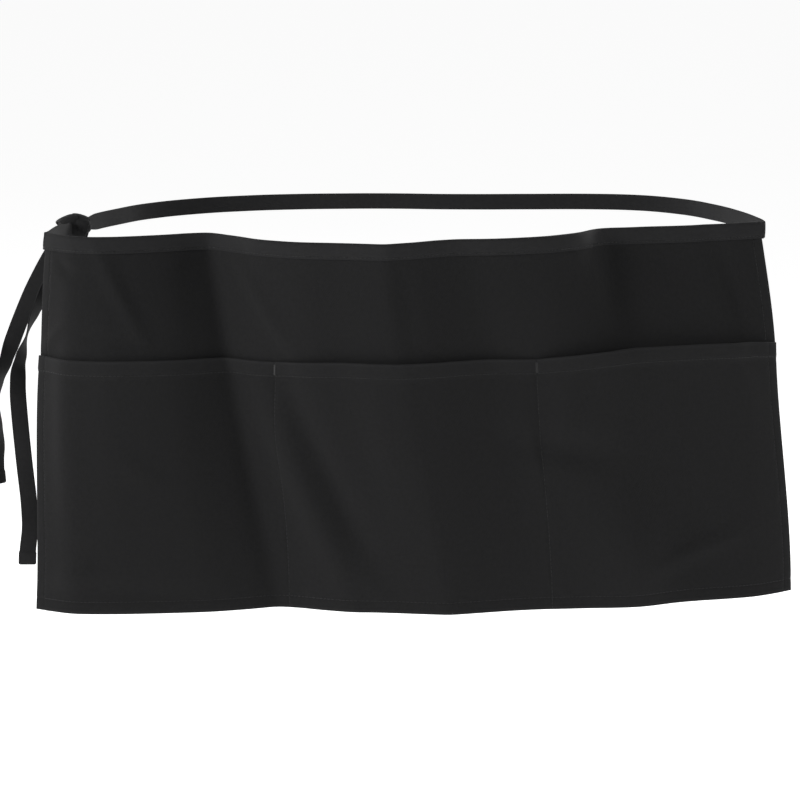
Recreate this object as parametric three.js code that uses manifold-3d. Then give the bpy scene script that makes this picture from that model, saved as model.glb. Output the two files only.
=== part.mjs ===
// A three-pocket waist apron with its ties knotted behind, as it hangs round a waist.
// Millimetres. +Z is up, the front of the apron faces -Y, and the wearer's way in is along Z.
// The origin is the middle of the waist, level with the middle of the waistband.
import * as THREE from "three";
import Module from "manifold-3d";

// Driving dimensions

// The cloth as it was cut and hemmed, before it was hung
const apronWidth = 597;
const apronHeight = 279;
const pocketHeight = 190;
const middlePocketWidth = 203;
const clothThickness = 1.2;
// What a turned edge adds to the cloth
const turningThickness = 0.8;
const sideHem = 9;
const bottomHem = 10.5;
const mouthHem = 12;

// The strip that binds the top edge and goes on as the ties
const bandHeight = 12.7;
const leafThickness = 1;
const tieWidth = 12.7;
const tieThickness = 1.8;
// How sharply the ties turn to the back at the waistband's ends
const tieTurn = 2;
// How far the strip runs past the cloth at each end before it is a tie
const bandOverhang = 1;
// From the middle of the front to the tie at the back
const loopDepth = 274;

// The knot, its place behind the left corner, and the loose ends
const knotLength = 27;
const knotHeight = 20;
const knotThickness = 15;
const knotInset = 21.5;
const knotSetback = 71;
const outerTailLength = 213;
const innerTailLength = 271;
const tailHem = 10;

// The gap between pieces that lie against each other
const clearance = 0.3;
// Half the length over which a cloth's thickness steps up to a turned edge
const step = 0.3;

const black = 0x1b1b1c;
const bandBlack = 0x222223;

// Tables

// How the cloth is turned from facing straight ahead, in degrees, at places across its width.
// A positive turn shows its face to the left. Each row of the cloth adds up these turns.
const folds = [
  { across: 0.0, top: 40, mouth: 28, bottom: 34 },
  { across: 0.03, top: 32, mouth: 36, bottom: 28 },
  { across: 0.07, top: 14, mouth: 33, bottom: 16 },
  { across: 0.115, top: 0, mouth: 26, bottom: 8 },
  { across: 0.16, top: -20, mouth: -8, bottom: 4 },
  { across: 0.205, top: -22, mouth: -36, bottom: 0 },
  { across: 0.245, top: 4, mouth: -22, bottom: -12 },
  { across: 0.285, top: 68, mouth: 46, bottom: -6 },
  { across: 0.33, top: 55, mouth: 44, bottom: 12 },
  { across: 0.37, top: 10, mouth: 14, bottom: 24 },
  { across: 0.42, top: 4, mouth: 6, bottom: 10 },
  { across: 0.46, top: 16, mouth: 18, bottom: 8 },
  { across: 0.495, top: 14, mouth: 18, bottom: 18 },
  { across: 0.53, top: -22, mouth: -14, bottom: 6 },
  { across: 0.57, top: -26, mouth: -24, bottom: -8 },
  { across: 0.615, top: -2, mouth: -14, bottom: -6 },
  { across: 0.65, top: 8, mouth: 4, bottom: 0 },
  { across: 0.67, top: 4, mouth: 2, bottom: -4 },
  { across: 0.72, top: -32, mouth: -12, bottom: -14 },
  { across: 0.77, top: -48, mouth: -22, bottom: -12 },
  { across: 0.82, top: -36, mouth: -22, bottom: -12 },
  { across: 0.87, top: -16, mouth: -16, bottom: -8 },
  { across: 0.92, top: -13, mouth: -10, bottom: -10 },
  { across: 0.965, top: -16, mouth: -18, bottom: -20 },
  { across: 1.0, top: -38, mouth: -14, bottom: -34 },
];

// How the middle of the cloth swings as it hangs, in shares of the apron's height.
const hang = [
  { down: 0, right: 0, forward: 0 },
  { down: 0.32, right: 0.004, forward: 0.029 },
  { down: 1, right: 0.039, forward: 0.043 },
];

// How far each pocket's mouth stands open and how far its edge is lifted there, in shares of
// the pocket's height.
const pockets = [
  { name: "left", gape: 0.05, lift: 0.004 },
  { name: "middle", gape: 0.055, lift: 0.014 },
  { name: "right", gape: 0.068, lift: 0.022 },
];

// How far the pockets' edge droops along its length, in shares of the pocket's height.
const mouthDroop = [
  { across: 0, drop: 0.03 },
  { across: 0.04, drop: 0.026 },
  { across: 0.12, drop: 0.004 },
  { across: 0.28, drop: 0.014 },
  { across: 0.42, drop: 0.004 },
  { across: 0.62, drop: 0.008 },
  { across: 0.8, drop: 0 },
];

// The back tie's way from the waistband's right end to the knot, as shares of the half width
// of the apron's top edge and of the loop's depth. Lean tips its upper edge outward, in degrees.
const backTieRoute = [
  { right: 1.0, back: 0.36, lean: 0 },
  { right: 0.99, back: 0.43, lean: 2 },
  { right: 0.965, back: 0.54, lean: 3 },
  { right: 0.92, back: 0.67, lean: 4 },
  { right: 0.85, back: 0.79, lean: 4 },
  { right: 0.745, back: 0.88, lean: 2 },
  { right: 0.6, back: 0.925, lean: 0 },
  { right: 0.42, back: 0.94, lean: -2 },
  { right: 0.2, back: 0.955, lean: -2 },
  { right: 0.0, back: 0.99, lean: 0 },
  { right: -0.2, back: 1.0, lean: 2 },
  { right: -0.4, back: 0.98, lean: 3 },
  { right: -0.58, back: 0.92, lean: 3 },
  { right: -0.71, back: 0.83, lean: 2 },
  { right: -0.8, back: 0.72, lean: 0 },
];

// The loose ends, by share of their length: how far they lean from straight down to the left
// and to the front, and which way their flat side is turned, all in degrees.
const outerTail = [
  { along: 0.0, left: 22, front: -6, turn: -12 },
  { along: 0.1, left: 31, front: -4, turn: -8 },
  { along: 0.2, left: 28, front: 0, turn: -6 },
  { along: 0.33, left: 23, front: 3, turn: -4 },
  { along: 0.45, left: 21, front: 4, turn: 4 },
  { along: 0.54, left: 18, front: 4, turn: 34 },
  { along: 0.62, left: 14, front: 4, turn: 66 },
  { along: 0.7, left: 0, front: 3, turn: 86 },
  { along: 0.79, left: -2, front: 2, turn: 66 },
  { along: 0.88, left: 6, front: 1, turn: 44 },
  { along: 1.0, left: -4, front: 0, turn: 32 },
];
const innerTail = [
  { along: 0.0, left: 12, front: 16, turn: 4 },
  { along: 0.08, left: 30, front: 18, turn: 6 },
  { along: 0.18, left: 33, front: 16, turn: 20 },
  { along: 0.27, left: 27, front: 14, turn: 56 },
  { along: 0.34, left: 17, front: 12, turn: 84 },
  { along: 0.41, left: 15, front: 12, turn: 48 },
  { along: 0.47, left: 2, front: 11, turn: 18 },
  { along: 0.55, left: -4, front: 9, turn: 4 },
  { along: 0.66, left: -5, front: 8, turn: -4 },
  { along: 0.77, left: -6, front: 7, turn: 2 },
  { along: 0.86, left: -2, front: 6, turn: 8 },
  { along: 0.93, left: 8, front: 4, turn: 4 },
  { along: 1.0, left: 1, front: 2, turn: 0 },
];

// How finely the walls are cut into facets
const facetsAcross = 62;
const facetsDown = 12;
const facetsPocket = 10;
const facetsTurn = 10;
const turnsAdded = 480;
const knotRings = 18;
const knotSides = 20;

// Places that follow from the sizes

const sidePocketWidth = (apronWidth - middlePocketWidth) / 2;
const dividers = [sidePocketWidth / apronWidth, 1 - sidePocketWidth / apronWidth];
const bandTop = bandHeight / 2;
const frontY = -loopDepth / 2;
const mouthDown = 1 - pocketHeight / apronHeight;
const pocketFrom = [0, ...dividers];
const pocketTo = [...dividers, 1];

const radians = THREE.MathUtils.degToRad;
const mix = THREE.MathUtils.lerp;

// Reads a column of a table at a place along another column, with smooth steps between rows.
function read(table, key, column, at) {
  let k = table.findIndex((row) => row[key] > at);
  if (k < 0) k = table.length - 1;
  const a = table[Math.max(k - 1, 0)];
  const b = table[k];
  if (a === b) return a[column];
  const share = THREE.MathUtils.smoothstep(at, a[key], b[key]);
  return mix(a[column], b[column], share);
}

// The cloth's turn at a place, in radians: across from its left edge and down from its top.
function turnOfCloth(across, down) {
  const mouth = read(folds, "across", "mouth", across);
  const above = down < mouthDown;
  const from = above ? read(folds, "across", "top", across) : mouth;
  const to = above ? mouth : read(folds, "across", "bottom", across);
  const share = above ? down / mouthDown : (down - mouthDown) / (1 - mouthDown);
  return radians(mix(from, to, share));
}

// One level row of the cloth, as points that are added up turn by turn from the middle, so
// that the row keeps the cloth's own width whatever its folds.
function rowOfCloth(down) {
  const at = THREE.MathUtils.clamp(down, 0, 1);
  const x = [0];
  const y = [0];
  for (let k = 0; k < turnsAdded; k++) {
    const turn = turnOfCloth((k + 0.5) / turnsAdded, at);
    x.push(x[k] + (Math.cos(turn) * apronWidth) / turnsAdded);
    y.push(y[k] - (Math.sin(turn) * apronWidth) / turnsAdded);
  }
  const middle = turnsAdded / 2;
  const startX = x[middle] - read(hang, "down", "right", at) * apronHeight;
  const startY = y[middle] + read(hang, "down", "forward", at) * apronHeight - frontY;
  return { x: x.map((value) => value - startX), y: y.map((value) => value - startY), at };
}

const rows = new Map();

// A point off the cloth: across and down in shares, and off its front face in millimetres.
// Past its side edges it runs straight on.
function offCloth(across, down, off) {
  const key = down.toFixed(5);
  if (!rows.has(key)) rows.set(key, rowOfCloth(down));
  const row = rows.get(key);
  const inside = THREE.MathUtils.clamp(across, 0, 1);
  const past = (across - inside) * apronWidth;
  const place = inside * turnsAdded;
  const k = Math.min(Math.floor(place), turnsAdded - 1);
  const turn = turnOfCloth(inside, row.at);
  return new THREE.Vector3(
    mix(row.x[k], row.x[k + 1], place - k) - Math.sin(turn) * off + Math.cos(turn) * past,
    mix(row.y[k], row.y[k + 1], place - k) - Math.cos(turn) * off - Math.sin(turn) * past,
    bandTop - down * apronHeight,
  );
}

// Makes a mesh of points and triangles, with its faces turned out.
function meshOf(name, points, triangles, color) {
  const volume = triangles.reduce((sum, [a, b, c]) => {
    const cross = new THREE.Vector3().crossVectors(points[b], points[c]);
    return sum + points[a].dot(cross);
  }, 0);
  const facing = volume < 0 ? triangles.map(([a, b, c]) => [a, c, b]) : triangles;
  const geometry = new THREE.BufferGeometry().setFromPoints(points);
  geometry.setIndex(facing.flat());
  geometry.computeVertexNormals();
  return meshFrom(name, geometry, color);
}

function meshFrom(name, geometry, color) {
  const material = new THREE.MeshStandardMaterial({ color, roughness: 0.92, metalness: 0 });
  const mesh = new THREE.Mesh(geometry, material);
  mesh.name = name;
  return mesh;
}

// A closed wall between two grids of points that match, [row][column].
function wallBetween(name, front, back, color) {
  const down = front.length;
  const across = front[0].length;
  const points = [...front.flat(), ...back.flat()];
  const triangles = [];
  const quad = (a, b, c, d) => triangles.push([a, b, c], [a, c, d]);
  const f = (i, j) => i * across + j;
  const b = (i, j) => down * across + f(i, j);
  for (let i = 0; i + 1 < down; i++) {
    for (let j = 0; j + 1 < across; j++) {
      quad(f(i, j), f(i + 1, j), f(i + 1, j + 1), f(i, j + 1));
      quad(b(i, j), b(i, j + 1), b(i + 1, j + 1), b(i + 1, j));
    }
    quad(f(i, 0), b(i, 0), b(i + 1, 0), f(i + 1, 0));
    quad(f(i, across - 1), f(i + 1, across - 1), b(i + 1, across - 1), b(i, across - 1));
  }
  for (let j = 0; j + 1 < across; j++) {
    quad(f(0, j), f(0, j + 1), b(0, j + 1), b(0, j));
    quad(f(down - 1, j), b(down - 1, j), b(down - 1, j + 1), f(down - 1, j + 1));
  }
  return meshOf(name, points, triangles, color);
}

// A closed body through rings of points that match, with both ends capped. The outline is the
// rings' shape in the plane, which the caps are cut from.
function throughRings(name, rings, outline, color) {
  const sides = outline.length;
  const points = rings.flat();
  const last = (rings.length - 1) * sides;
  const triangles = [];
  for (let i = 0; i + 1 < rings.length; i++) {
    for (let j = 0; j < sides; j++) {
      const [a, b] = [i * sides + j, i * sides + ((j + 1) % sides)];
      triangles.push([a, b, b + sides], [a, b + sides, a + sides]);
    }
  }
  const counter = !THREE.ShapeUtils.isClockWise(outline);
  for (const face of THREE.ShapeUtils.triangulateShape(outline, [])) {
    const [a, b, c] = counter ? face : [face[0], face[2], face[1]];
    triangles.push([c, b, a], [last + a, last + b, last + c]);
  }
  return meshOf(name, points, triangles, color);
}

// Places from one end to the other at even steps, with the lines that a step in thickness
// needs on each side of every place in edges.
function gridLines(count, from, to, edges, halfStep) {
  const even = [];
  for (let k = 0; k <= count; k++) even.push(mix(from, to, k / count));
  const sharp = edges.flatMap((edge) => [edge - halfStep, edge + halfStep]);
  const apart = ((to - from) / count) * 0.3;
  const inner = even.slice(1, -1).filter((at) => sharp.every((s) => Math.abs(at - s) > apart));
  return [from, ...inner, ...sharp, to].sort((a, b) => a - b);
}

// Cloth panels

const sideEdges = [sideHem / apronWidth, 1 - sideHem / apronWidth];
const acrossLines = gridLines(facetsAcross, 0, 1, sideEdges, step / apronWidth);

function bodyThickness(across, down) {
  const atSide = across < sideEdges[0] || across > sideEdges[1];
  const atBottom = down > 1 - bottomHem / apronHeight;
  return clothThickness + (atSide || atBottom ? turningThickness : 0);
}

function bodyPanel() {
  const start = (leafThickness + clearance) / apronHeight;
  const bandEdge = bandHeight / apronHeight;
  const hem = 1 - bottomHem / apronHeight;
  const downLines = gridLines(facetsDown, start, 1, [bandEdge, hem], step / apronHeight);
  const face = (off) =>
    downLines.map((down) => acrossLines.map((u) => offCloth(u, down, off(u, down))));
  const front = face(() => 0);
  const back = face((across, down) => -bodyThickness(across, down));
  return wallBetween("body_panel", front, back, black);
}

// How far the pocket cloth is lifted off the body panel, in millimetres. Each pocket is a wide
// arch between its two seams, which is deepest at the mouth and flat at the bottom.
function pocketAt(across) {
  const k = across < dividers[0] ? 0 : across < dividers[1] ? 1 : 2;
  const place = (across - pocketFrom[k]) / (pocketTo[k] - pocketFrom[k]);
  const arch = 1 - Math.abs(2 * place - 1) ** 3;
  return { row: pockets[k], arch };
}

function pocketGap(across, low) {
  const { row, arch } = pocketAt(across);
  return row.gape * pocketHeight * arch * (1 - low) ** 1.4;
}

function pocketMouth(across) {
  const { row, arch } = pocketAt(across);
  const drop = read(mouthDroop, "across", "drop", across) - row.lift * arch;
  return mouthDown + (drop * pocketHeight) / apronHeight;
}

function pocketPanel() {
  const hem = mouthHem / pocketHeight;
  const lowLines = gridLines(facetsPocket, 0, 1, [hem], step / pocketHeight);
  const face = (off) =>
    lowLines.map((low) =>
      acrossLines.map((across) => {
        const down = mix(pocketMouth(across), 1, low);
        return offCloth(across, down, clearance + pocketGap(across, low) + off(low));
      }),
    );
  const front = face((low) => clothThickness + (low < hem ? turningThickness : 0));
  return wallBetween("pocket_panel", front, face(() => 0), black);
}

// The waistband: an upside-down U over the panel's top edge.
function waistband() {
  const bevel = leafThickness * 0.6;
  const front = clearance + leafThickness;
  const profile = (thickness) => {
    const back = -(thickness + clearance + leafThickness);
    return [
      [front, bandHeight],
      [front, bevel],
      [front - bevel, 0],
      [back + bevel, 0],
      [back, bevel],
      [back, bandHeight],
      [back + leafThickness, bandHeight],
      [back + leafThickness, leafThickness],
      [front - leafThickness, leafThickness],
      [front - leafThickness, bandHeight],
    ];
  };
  const outline = profile(clothThickness).map(([off, down]) => new THREE.Vector2(off, -down));
  const past = bandOverhang / apronWidth;
  const rings = [-past, ...acrossLines, 1 + past].map((across) =>
    profile(bodyThickness(across, 0)).map(([off, down]) =>
      offCloth(across, down / apronHeight, off),
    ),
  );
  return throughRings("waistband", rings, outline, bandBlack);
}

// Ties

// A flat strip through stations, each with its middle, the direction of its width and of its
// thickness, and its sizes.
function strip(name, stations) {
  const corners = [
    [-1, -1],
    [1, -1],
    [1, 1],
    [-1, 1],
  ];
  const outline = corners.map(([w, t]) => new THREE.Vector2(w, t));
  const rings = stations.map(({ middle, wide, thick, width, thickness }) =>
    corners.map(([w, t]) =>
      middle
        .clone()
        .addScaledVector(wide, (w * width) / 2)
        .addScaledVector(thick, (t * thickness) / 2),
    ),
  );
  return throughRings(name, rings, outline, bandBlack);
}

// Stations of a strip that stands on edge along a curve, close together round its first turn.
// Lean tips its upper edge sideways and taper narrows it, as functions of the share of the curve.
function standing(curve, count, lean, taper) {
  const turned = (4 * tieTurn) / curve.getLength();
  const stations = [];
  for (let k = 0; k <= count + facetsTurn; k++) {
    const share =
      k < facetsTurn ? (k / facetsTurn) * turned : mix(turned, 1, (k - facetsTurn) / count);
    const along = curve.getTangentAt(share);
    const out = new THREE.Vector3(along.y, -along.x, 0).normalize();
    const tip = radians(lean(share));
    const wide = new THREE.Vector3(0, 0, 1).applyAxisAngle(along, tip);
    stations.push({
      middle: curve.getPointAt(share),
      wide,
      thick: out.applyAxisAngle(along, tip),
      width: tieWidth * taper(share),
      thickness: tieThickness,
    });
  }
  return stations;
}

// The middle of the waistband at one of its ends, and the way that it points there.
function bandEnd(edge) {
  const outward = edge === 0 ? -1 : 1;
  const turn = turnOfCloth(edge, 0);
  const off = -bodyThickness(edge, 0) / 2;
  const across = edge + (outward * bandOverhang) / apronWidth;
  const middle = offCloth(across, bandTop / apronHeight, off);
  return { middle, way: new THREE.Vector3(outward * Math.cos(turn), -outward * Math.sin(turn), 0) };
}

const leftEnd = bandEnd(0);
const rightEnd = bandEnd(1);
const halfSpan = (rightEnd.middle.x - leftEnd.middle.x) / 2;
const spanMiddle = (rightEnd.middle.x + leftEnd.middle.x) / 2;
const knotMiddle = leftEnd.middle.clone().add(new THREE.Vector3(knotInset, knotSetback, 0));

// A tie leaves the band along the band's own way and turns at once to the back.
function turnAtEnd({ middle, way }) {
  const back = new THREE.Vector3(-way.y, way.x, 0).multiplyScalar(Math.sign(way.x));
  const beside = (out, behind) =>
    middle
      .clone()
      .addScaledVector(way, clearance + out * tieTurn)
      .addScaledVector(back, behind * tieTurn);
  return [beside(0, 0), beside(0.25, 0), beside(0.5, 0), beside(1.2, 0.4), beside(1.3, 1.2)];
}

function backTie() {
  const reach = halfSpan + tieTurn;
  const points = backTieRoute.map(
    ({ right, back }) =>
      new THREE.Vector3(spanMiddle + right * reach, frontY + back * loopDepth, 0),
  );
  const route = [...turnAtEnd(rightEnd), ...points, knotMiddle];
  const curve = new THREE.CatmullRomCurve3(route, false, "centripetal");
  const lean = (share) => {
    const row = share * (route.length - 1) - (route.length - 1 - backTieRoute.length);
    const at = THREE.MathUtils.clamp(row, 0, backTieRoute.length - 1);
    const k = Math.min(Math.floor(at), backTieRoute.length - 2);
    return mix(backTieRoute[k].lean, backTieRoute[k + 1].lean, at - k);
  };
  const taper = (share) => 1 - 0.38 * THREE.MathUtils.smoothstep(share, 0.965, 0.985);
  return strip("back_tie", standing(curve, 84, lean, taper));
}

// The left tie runs back from the band's left end to the knot.
function leftTie() {
  const turn = turnAtEnd(leftEnd);
  const half = turn.at(-1).clone().lerp(knotMiddle, 0.5).add(new THREE.Vector3(-tieTurn, 0, 0));
  const curve = new THREE.CatmullRomCurve3([...turn, half, knotMiddle], false, "centripetal");
  const taper = (share) => 1 - 0.3 * THREE.MathUtils.smoothstep(share, 0.6, 0.85);
  return strip("left_tie", standing(curve, 24, () => 0, taper));
}

// The knot: turns of the tie drawn tight round each other, as an egg with three slanting lobes.
function knot(name, grow) {
  const radii = [knotLength / 2, knotThickness / 2, knotHeight / 2].map((r) => r + grow);
  const outline = [];
  for (let j = 0; j < knotSides; j++) {
    const angle = (j / knotSides) * Math.PI * 2;
    outline.push(new THREE.Vector2(Math.cos(angle), Math.sin(angle)));
  }
  const rings = [];
  for (let i = 0; i <= knotRings; i++) {
    const polar = mix(0.06, Math.PI - 0.06, i / knotRings);
    const along = -Math.cos(polar);
    const ring = outline.map(({ x, y }, j) => {
      const angle = (j / knotSides) * Math.PI * 2;
      const lobe = 1 - 0.13 * (0.5 - 0.5 * Math.cos(3 * angle + 2.6 * along));
      const round = Math.sin(polar) ** 0.8 * lobe;
      return new THREE.Vector3(along * radii[0], x * round * radii[1], y * round * radii[2]);
    });
    rings.push(ring.map((point) => point.add(knotMiddle)));
  }
  return throughRings(name, rings, outline, bandBlack);
}

// Stations of a loose end that hangs from the knot. Its way down is added up lean by lean, so
// that it keeps its length, and its last stretch is thicker, where the end is turned in.
function hanging(table, start, length, count) {
  const hemAt = 1 - tailHem / length;
  const places = gridLines(count, 0, 1, [hemAt], step / length);
  const middle = start.clone();
  let before = 0;
  return places.map((share) => {
    const parts = 6;
    for (let k = 0; k < parts; k++) {
      const at = mix(before, share, (k + 0.5) / parts);
      middle.addScaledVector(wayDown(table, at), ((share - before) / parts) * length);
    }
    before = share;
    const along = wayDown(table, share);
    const turn = radians(read(table, "along", "turn", share));
    const wide = new THREE.Vector3(Math.cos(turn), Math.sin(turn), 0);
    wide.addScaledVector(along, -wide.dot(along)).normalize();
    const hem = share > hemAt ? turningThickness : 0;
    return {
      middle: middle.clone(),
      wide,
      thick: new THREE.Vector3().crossVectors(along, wide),
      width: tieWidth * (0.7 + 0.3 * THREE.MathUtils.smoothstep(share, 0.03, 0.12)),
      thickness: tieThickness + hem,
    };
  });
}

function wayDown(table, share) {
  const left = radians(read(table, "along", "left", share));
  const front = radians(read(table, "along", "front", share));
  return new THREE.Vector3(-Math.tan(left), -Math.tan(front), -1).normalize();
}

// A loose end starts inside the knot, right and back of its middle by shares of the knot.
function tail(name, table, length, right, back) {
  const inside = new THREE.Vector3(right * knotLength, back * knotThickness, 0);
  return strip(name, hanging(table, knotMiddle.clone().add(inside), length, 44));
}

// Cuts away the stretch of a strip that runs into the knot, and leaves a gap between them.
const wasm = await Module();
wasm.setup();

function solidOf(mesh) {
  const position = mesh.geometry.getAttribute("position");
  const index = mesh.geometry.getIndex();
  return new wasm.Manifold(
    new wasm.Mesh({
      numProp: 3,
      vertProperties: new Float32Array(position.array),
      triVerts: new Uint32Array(index.array),
    }),
  );
}

function cutAtKnot(mesh) {
  const cut = solidOf(mesh).subtract(solidOf(knot("grown_knot", clearance)));
  const parts = cut.decompose().sort((a, b) => b.volume() - a.volume());
  const { vertProperties, triVerts } = parts[0].getMesh();
  const geometry = new THREE.BufferGeometry();
  geometry.setAttribute("position", new THREE.BufferAttribute(vertProperties, 3));
  geometry.setIndex(new THREE.BufferAttribute(triVerts, 1));
  geometry.computeVertexNormals();
  return meshFrom(mesh.name, geometry, bandBlack);
}

const apron = new THREE.Group();
apron.add(bodyPanel(), pocketPanel(), waistband());
apron.add(cutAtKnot(backTie()), cutAtKnot(leftTie()), knot("tie_knot", 0));
apron.add(cutAtKnot(tail("outer_tail", outerTail, outerTailLength, -0.26, 0.14)));
apron.add(cutAtKnot(tail("inner_tail", innerTail, innerTailLength, 0.08, -0.14)));

export default apron;
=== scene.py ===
# %% [markdown]
# A waist apron of black twill, with three pockets and two long ties.
#
# The apron was built first as plain solids at its real size. This lesson loads them as a frame
# that never moves, and makes the cloth that is seen: folded panels, a stitched waistband, flat
# ties, a knot of wrapped tape, stitches and a twill weave. Every surface is a formula on a grid,
# worked out with numpy, so a fold or a hem is a few named numbers and not a sculpted shape.

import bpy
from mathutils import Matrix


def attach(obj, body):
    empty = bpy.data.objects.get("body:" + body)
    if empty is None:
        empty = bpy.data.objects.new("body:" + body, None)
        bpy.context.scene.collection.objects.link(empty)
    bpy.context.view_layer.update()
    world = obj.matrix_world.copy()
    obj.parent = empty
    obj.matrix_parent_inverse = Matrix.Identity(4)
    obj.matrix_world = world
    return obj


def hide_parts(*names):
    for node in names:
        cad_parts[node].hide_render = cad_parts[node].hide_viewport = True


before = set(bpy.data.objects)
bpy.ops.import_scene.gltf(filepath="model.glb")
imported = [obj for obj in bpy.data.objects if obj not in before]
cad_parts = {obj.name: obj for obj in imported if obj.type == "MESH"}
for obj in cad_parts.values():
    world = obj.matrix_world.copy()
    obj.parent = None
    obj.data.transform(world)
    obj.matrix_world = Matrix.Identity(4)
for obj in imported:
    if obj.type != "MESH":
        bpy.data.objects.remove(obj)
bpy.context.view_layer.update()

# %% [markdown]
# The sizes, in metres. Widths, heights, hems and lengths are those of the solids. The cloth is
# thinner than the walls of the solids, and so nearer to real twill. The origin is the middle of
# the waist, level with the middle of the waistband. The apron faces -Y and +Z is up.

import bmesh
import bpy
import numpy as np
from mathutils import Matrix, Vector

mm = 0.001
apron_width = 597 * mm
apron_height = 279 * mm
pocket_height = 190 * mm
middle_pocket_width = 203 * mm
band_height = 12.7 * mm
tie_width = 12.7 * mm
tie_thickness = 1.8 * mm
loop_depth = 274 * mm
side_hem = 9 * mm
bottom_hem = 10.5 * mm
mouth_hem = 12 * mm
tail_hem = 10 * mm
# One layer of the cloth, and what a turned edge adds behind it and in front of it
cloth = 0.8 * mm
turned_behind = 0.7 * mm
turned_before = 0.3 * mm
clearance = 0.3 * mm

band_top = band_height / 2
front_y = -loop_depth / 2
mouth_down = 1 - pocket_height / apron_height
side_pocket = (apron_width - middle_pocket_width) / 2
dividers = (side_pocket / apron_width, 1 - side_pocket / apron_width)


def make_table(names, rows):
    """A table of numbers whose columns have the given names."""
    return np.array(rows, dtype=[(name, float) for name in names.split()])


def columns(*parts):
    """Arrays or numbers side by side, as the last direction of one array."""
    return np.stack(np.broadcast_arrays(*parts), axis=-1)


# %% [markdown]
# The folds. A hanging cloth keeps its width however it folds, so a fold is best described by
# the way the cloth is turned, not by how far it stands out. Each row says the turn in degrees at
# three heights: the top edge, the pockets' mouth and the lower edge. The folds slant, so a row
# also says where it stands at each height, in shares of the width. A positive turn faces the
# cloth to the left, where the strongest light comes from.

# %% Table of folds
folds = make_table("top_at mouth_at bottom_at top mouth bottom", [
    (0.0, 0.0, 0.0, 54, 44, 38),
    (0.03, 0.03, 0.03, 44, 50, 34),
    (0.075, 0.08, 0.08, 8, 18, 6),
    (0.115, 0.125, 0.14, -10, -2, 0),
    (0.15, 0.165, 0.2, -14, -9, -2),
    (0.185, 0.21, 0.26, -20, -22, -12),
    (0.21, 0.245, 0.3, -8, -22, -17),
    (0.235, 0.27, 0.33, 44, 32, 18),
    (0.285, 0.31, 0.36, 52, 40, 28),
    (0.33, 0.35, 0.39, 32, 30, 20),
    (0.39, 0.40, 0.43, 12, 10, 11),
    (0.44, 0.45, 0.485, 16, 16, 14),
    (0.46, 0.475, 0.525, 18, 16, 12),
    (0.485, 0.505, 0.55, -18, -12, -11),
    (0.53, 0.55, 0.595, -28, -22, -11),
    (0.565, 0.595, 0.64, -14, -16, -6),
    (0.585, 0.625, 0.67, 2, 4, 0),
    (0.66, 0.68, 0.72, -14, -2, -5),
    (0.715, 0.73, 0.76, -31, -14, -12),
    (0.765, 0.78, 0.8, -35, -21, -12),
    (0.815, 0.82, 0.84, -20, -20, -9),
    (0.86, 0.87, 0.88, -5, -12, -8),
    (0.905, 0.92, 0.92, -8, -10, -13),
    (0.955, 0.96, 0.96, -20, -20, -28),
    (1.0, 1.0, 1.0, -10, -14, -36),
])
# How the middle of the cloth swings as it hangs, in shares of the apron's height
hang = make_table("down right forward", [(0, 0, 0), (0.32, 0.004, 0.029), (1, 0.039, 0.043)])


def step(at, start, end):
    """A smooth step from 0 before start to 1 after end: 3 t squared minus 2 t cubed."""
    t = np.clip((at - start) / (end - start), 0, 1)
    return t * t * (3 - 2 * t)


def read(table, key, column, at):
    """A column at places along the key column, with a smooth step between rows."""
    k = np.clip(np.searchsorted(table[key], at, side="right"), 1, len(table) - 1)
    low, high = table[k - 1], table[k]
    return low[column] + (high[column] - low[column]) * step(at, low[key], high[key])


def level(row, names, down):
    """A row's value at a height: straight lines between the top, the mouth and the lower edge."""
    top, mouth, bottom = [row[name] for name in names]
    above = np.clip(down / mouth_down, 0, 1)
    below = np.clip((down - mouth_down) / (1 - mouth_down), 0, 1)
    return top + (mouth - top) * above + (bottom - mouth) * below


def turn_of_cloth(across, down):
    """The cloth's turn in radians: a smooth step between the folds that lie on either side."""
    across, down = np.broadcast_arrays(across, down)
    turn = np.zeros(across.shape)
    for sides in zip(folds[:-1], folds[1:]):
        start, end = [level(row, ("top_at", "mouth_at", "bottom_at"), down) for row in sides]
        low, high = [level(row, ("top", "mouth", "bottom"), down) for row in sides]
        between = low + (high - low) * step(across, start, end)
        turn = np.where(across >= start, between, turn)
    return np.radians(turn)


# %% [markdown]
# Laying the cloth. Small steps of equal length are added up along each row, each in the
# direction that the turn gives: right by its cosine and forward by its sine. The sums are kept
# as two maps, moved so that the middle of each row hangs where the hang table says. Any point of
# the cloth is then found by looking it up between four entries of a map.

# %% Lay the cloth row by row
steps_across = 1200
steps_down = 280


def running_sum(values):
    """Sums from the left end, starting with 0."""
    start = np.zeros((len(values), 1))
    return np.concatenate([start, np.cumsum(values, axis=1)], axis=1) * apron_width / steps_across


def cloth_maps():
    """The x and y of the front face, [step down][step across], hung from its middle."""
    down = np.linspace(0, 1, steps_down + 1)[:, None]
    centres = (np.arange(steps_across) + 0.5) / steps_across
    turn = turn_of_cloth(centres, down)
    x = running_sum(np.cos(turn))
    y = -running_sum(np.sin(turn))
    middle = slice(steps_across // 2, steps_across // 2 + 1)
    x += read(hang, "down", "right", down) * apron_height - x[:, middle]
    y += front_y - read(hang, "down", "forward", down) * apron_height - y[:, middle]
    return x, y


cloth_x, cloth_y = cloth_maps()
print("the top edge runs from x", round(cloth_x[0, 0], 4), "to", round(cloth_x[0, -1], 4))


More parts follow.
